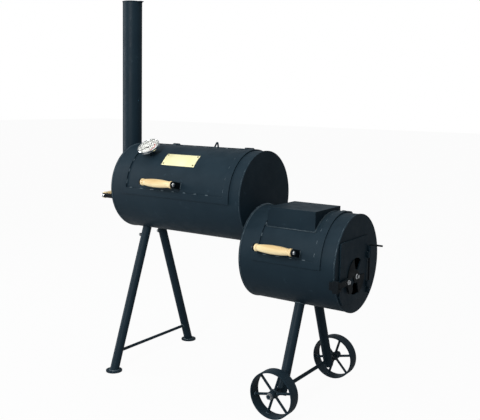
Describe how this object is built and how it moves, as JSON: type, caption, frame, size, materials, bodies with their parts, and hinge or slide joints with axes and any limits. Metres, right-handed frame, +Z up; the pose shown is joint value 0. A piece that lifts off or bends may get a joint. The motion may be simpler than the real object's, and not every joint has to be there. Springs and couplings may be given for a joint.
{
  "type": "offset smoker",
  "caption": "Offset barbecue smoker: lidded horizontal steel pipe chamber with stack, lower firebox with hot plate, door and air vent, splayed tube legs and spoked wheels.",
  "frame": {"origin": "on the ground under the middle of the whole object", "axes": "+X along the pipes from the stack to the firebox door, -Y to the front where the handles are, +Z up"},
  "size_m": [1.435, 0.6448, 1.747],
  "materials": {
    "black_paint": "satin heat-resistant black paint with a faint blue tint",
    "black_hardware": "black painted flat bar",
    "beech_wood": "turned beech, clear lacquer",
    "bright_steel": "zinc-plated steel",
    "polished_bezel": "polished stainless bezel",
    "dial_face": "printed dial, plain marks",
    "needle_black": "black lacquered needle",
    "clear_glass": "flat clear glass",
    "brass": "brushed pale brass, bare",
    "brass_rivet": "small brass rivets",
    "zinc_steel": "dull zinc plating",
    "grate_steel": "bare steel rods",
    "grate_iron": "dark iron bars"
  },
  "bodies": {
    "frame": {"chamber_shell": "black_paint", "chamber_left_end_plate": "black_paint", "chamber_right_end_plate": "black_paint", "chamber_hinge_knuckles": "black_paint", "chamber_hinge_pins": "black_paint", "lid_stop_loop": "black_paint", "carry_handle_bars": "black_hardware", "carry_handle_grip": "beech_wood", "carry_handle_bolt": "bright_steel", "stack_inlet": "black_paint", "stack_tube": "black_paint", "stack_flap_pivot": "black_paint", "leg_stubs": "black_paint", "left_leg_front": "black_paint", "left_leg_back": "black_paint", "leg_set_screws": "zinc_steel", "feet": "black_paint", "leg_brace": "black_paint", "cooking_grate": "grate_steel", "grate_rails": "black_paint", "firebox_shell": "black_paint", "firebox_left_end_plate": "black_paint", "firebox_right_end_plate": "black_paint", "firebox_hinge_knuckles": "black_paint", "firebox_hinge_pins": "black_paint", "fire_grate": "grate_iron", "door_hinge_knuckles": "black_paint", "latch_keeper": "black_hardware", "right_legs": "black_paint", "axle": "black_paint", "axle_washers": "zinc_steel"},
    "chamber_lid": {"chamber_lid_panel": "black_paint", "chamber_lid_strips": "black_paint", "chamber_lid_knuckles": "black_paint", "chamber_handle_lugs": "black_hardware", "chamber_handle_grip": "beech_wood", "chamber_handle_bolt": "bright_steel", "thermometer_stem": "black_paint", "thermometer_case": "polished_bezel", "thermometer_dial": "dial_face", "thermometer_glass": "clear_glass", "nameplate": "brass", "nameplate_rivets": "brass_rivet"},
    "thermometer_needle": {"thermometer_needle": "needle_black"},
    "firebox_lid": {"firebox_lid_panel": "black_paint", "firebox_lid_strips": "black_paint", "firebox_lid_knuckles": "black_paint", "hot_plate_box": "black_paint", "firebox_handle_lugs": "black_hardware", "firebox_handle_grip": "beech_wood", "firebox_handle_bolt": "bright_steel"},
    "door": {"door": "black_paint", "door_hinge_pin": "black_paint", "latch_bolt": "bright_steel"},
    "latch": {"latch_lever": "black_hardware"},
    "vent": {"vent_butterfly": "black_hardware", "vent_knob": "bright_steel"},
    "stack_flap": {"stack_flap": "black_paint"},
    "front_wheel": {"front_wheel": "black_paint"},
    "back_wheel": {"back_wheel": "black_paint"}
  },
  "joints": [
    {"name": "chamber_lid_hinge", "type": "hinge", "parent": "frame", "child": "chamber_lid", "pos_m": [-0.1485, 0.071, 1.0535], "axis": [-1, 0, 0], "range_deg": [0, 108]},
    {"name": "firebox_lid_hinge", "type": "hinge", "parent": "frame", "child": "firebox_lid", "pos_m": [0.4215, 0.09656, 0.80852], "axis": [-1, 0, 0], "range_deg": [0, 108]},
    {"name": "door_hinge", "type": "hinge", "parent": "frame", "child": "door", "pos_m": [0.6595, 0.093, 0.589], "axis": [0, 0, 1], "range_deg": [0, 95]},
    {"name": "latch_pivot", "type": "hinge", "parent": "door", "child": "latch", "pos_m": [0.6625, -0.116, 0.565], "axis": [-1, 0, 0], "range_deg": [0, 70]},
    {"name": "vent_pivot", "type": "hinge", "parent": "door", "child": "vent", "pos_m": [0.656, -0.024, 0.571], "axis": [1, 0, 0], "range_deg": [-60, 30]},
    {"name": "stack_flap_pivot", "type": "hinge", "parent": "frame", "child": "stack_flap", "pos_m": [-0.637, 0.028, 1.7405], "axis": [0, 0, 1], "range_deg": [0, 120]},
    {"name": "needle_arbor", "type": "hinge", "parent": "chamber_lid", "child": "thermometer_needle", "pos_m": [-0.3595, -0.13949, 1.05222], "axis": [0, 0.5736, -0.8192], "range_deg": [0, 270]},
    {"name": "front_wheel_axle", "type": "hinge", "parent": "frame", "child": "front_wheel", "pos_m": [0.4275, -0.273, 0.098], "axis": [0, 1, 0], "continuous": true},
    {"name": "back_wheel_axle", "type": "hinge", "parent": "frame", "child": "back_wheel", "pos_m": [0.4275, 0.273, 0.098], "axis": [0, 1, 0], "continuous": true}
  ]
}
